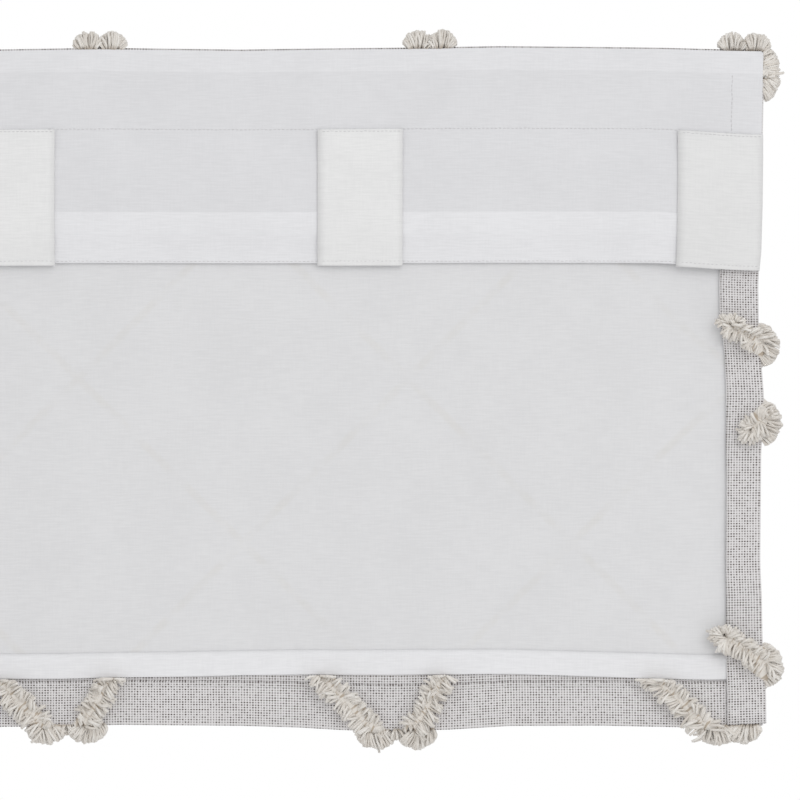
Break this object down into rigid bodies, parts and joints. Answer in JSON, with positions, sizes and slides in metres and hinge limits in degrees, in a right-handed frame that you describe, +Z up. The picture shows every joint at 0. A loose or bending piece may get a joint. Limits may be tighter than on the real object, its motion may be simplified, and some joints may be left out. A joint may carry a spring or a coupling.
{
  "type": "window valance",
  "caption": "Lined back-tab window valance with a rod pocket behind its header and a diamond lattice of cut-yarn tufting on a woven face.",
  "frame": {"origin": "middle of the rod pocket: middle of the width, halfway between the pocket's two rows of stitching, in the middle of its gap", "axes": "+X along the width and the rod, +Y out of the back, where the lining, band and tabs are, +Z up; the tufted front faces -Y"},
  "size_m": [1.5411, 0.0295, 0.4238],
  "materials": {
    "face_weave": "coarse natural basket weave, matt",
    "lining": "plain white cotton lining, matt",
    "band": "plain white cotton, matt",
    "tab": "doubled white cotton, matt",
    "tuft_yarn": "soft cut cotton yarn, cream"
  },
  "bodies": {
    "root": {"face_panel": "face_weave", "lining_panel": "lining", "pocket_band": "band", "back_tab_1": "tab", "back_tab_2": "tab", "back_tab_3": "tab", "back_tab_4": "tab", "back_tab_5": "tab", "back_tab_6": "tab", "back_tab_7": "tab", "back_tab_8": "tab", "tuft_row_1": "tuft_yarn", "tuft_row_2": "tuft_yarn", "tuft_row_3": "tuft_yarn", "tuft_row_4": "tuft_yarn", "hem_tuft_1": "tuft_yarn", "hem_tuft_2": "tuft_yarn", "hem_tuft_3": "tuft_yarn", "hem_tuft_4": "tuft_yarn", "hem_tuft_5": "tuft_yarn", "hem_tuft_6": "tuft_yarn", "hem_tuft_7": "tuft_yarn", "hem_tuft_8": "tuft_yarn", "hem_tuft_9": "tuft_yarn", "hem_tuft_10": "tuft_yarn", "hem_tuft_11": "tuft_yarn", "hem_tuft_12": "tuft_yarn", "hem_tuft_13": "tuft_yarn", "hem_tuft_14": "tuft_yarn", "hem_tuft_15": "tuft_yarn", "hem_tuft_16": "tuft_yarn"}
  },
  "joints": []
}
